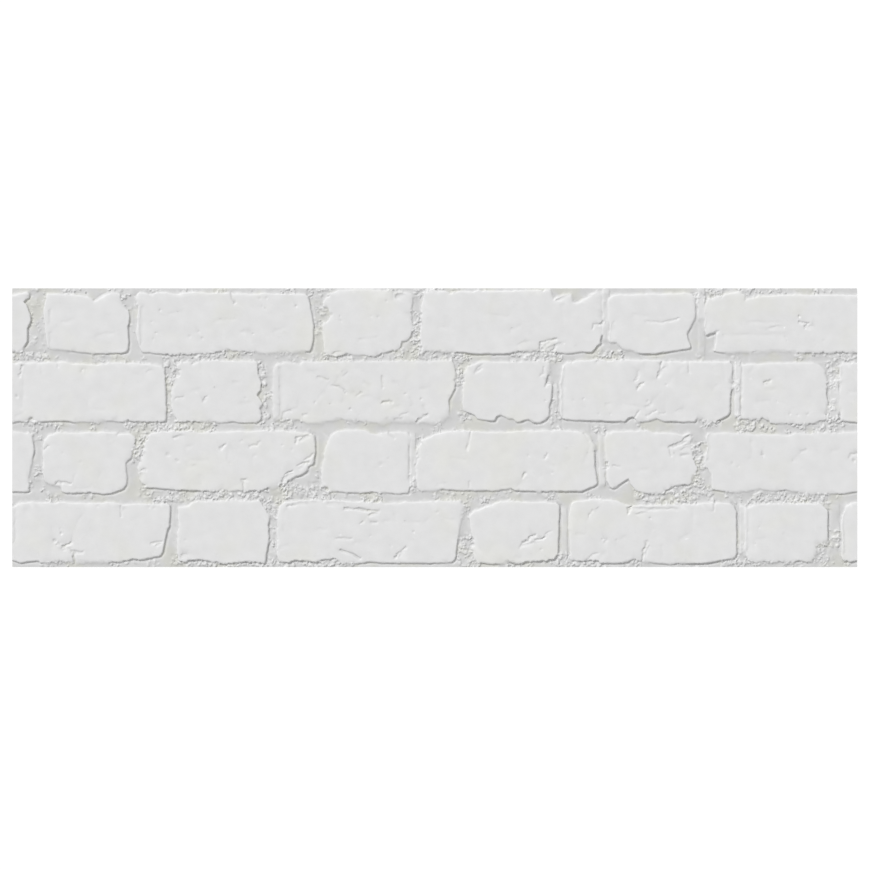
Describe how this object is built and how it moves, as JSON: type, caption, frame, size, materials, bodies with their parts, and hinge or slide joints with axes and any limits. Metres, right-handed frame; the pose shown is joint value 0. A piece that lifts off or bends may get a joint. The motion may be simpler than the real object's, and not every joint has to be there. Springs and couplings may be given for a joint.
{
  "type": "ceramic wall tile",
  "caption": "White matt ceramic wall tile with pressed relief of worn brickwork in Flemish bond, keyed on its back for adhesive.",
  "frame": {"origin": "middle of the tile's back, at the height of the back's ribs", "axes": "+X along the courses of bricks, +Y up the wall as the tile is fixed, +Z out of the face; stored lying on its back"},
  "size_m": [1, 0.33, 0.0115],
  "materials": {
    "white_glaze": "matt white glaze with a fine grit in the moulded joints, bare biscuit on the back"
  },
  "bodies": {
    "root": {"tile": "white_glaze"}
  },
  "joints": []
}
